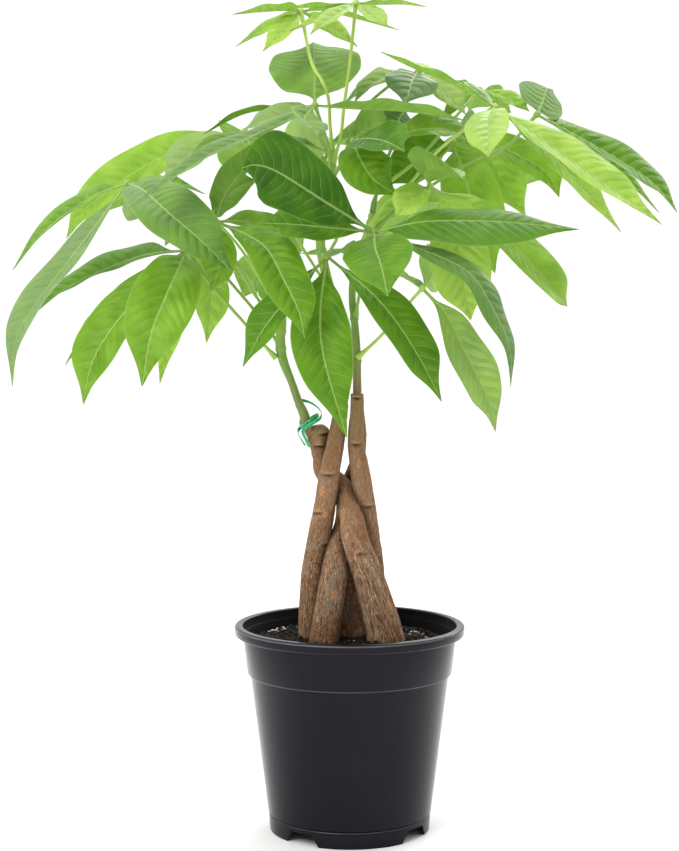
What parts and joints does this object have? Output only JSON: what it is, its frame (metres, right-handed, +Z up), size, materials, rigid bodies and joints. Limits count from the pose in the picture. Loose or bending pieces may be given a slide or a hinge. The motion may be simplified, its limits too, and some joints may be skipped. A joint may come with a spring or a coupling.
{
  "type": "potted money tree",
  "caption": "Young braided money tree with palmate leaves, growing in soil in a round tapered plastic nursery pot with a rolled rim and a notched foot.",
  "frame": {"origin": "centre of the pot's foot, on the surface that the pot stands on, at the middle of the object's width and depth", "axes": "+Z up along the pot's axis, -Y towards the front, which the picture shows, and +X to the right seen from the front"},
  "size_m": [0.4539, 0.3404, 0.5484],
  "materials": {
    "pot_plastic": "satin moulded polypropylene, near black",
    "soil": "crumbly dark potting mix with white perlite",
    "bark": "matte brown bark with fine upright fissures",
    "green_stem": "smooth green young wood",
    "leaf": "thin satin leaf, lighter underneath, with pale midribs",
    "tie_plastic": "glossy green plastic coating on wire"
  },
  "bodies": {
    "root": {"pot": "pot_plastic", "soil": "soil", "trunk_1": "bark", "trunk_2": "bark", "trunk_3": "bark", "trunk_4": "bark", "trunk_5": "bark", "shoot_1": "green_stem", "shoot_2": "green_stem", "shoot_3": "green_stem", "leaf_01": "leaf", "leaf_02": "leaf", "leaf_03": "leaf", "leaf_04": "leaf", "leaf_05": "leaf", "leaf_06": "leaf", "leaf_07": "leaf", "leaf_08": "leaf", "leaf_09": "leaf", "leaf_10": "leaf", "leaf_11": "leaf", "leaf_12": "leaf", "leaf_13": "leaf", "leaf_14": "leaf", "leaf_15": "leaf", "leaf_16": "leaf", "leaf_17": "leaf", "leaf_18": "leaf", "leaf_19": "leaf", "leaf_20": "leaf", "leaf_21": "leaf", "leaf_22": "leaf", "leaf_23": "leaf", "tie": "tie_plastic"}
  },
  "joints": []
}
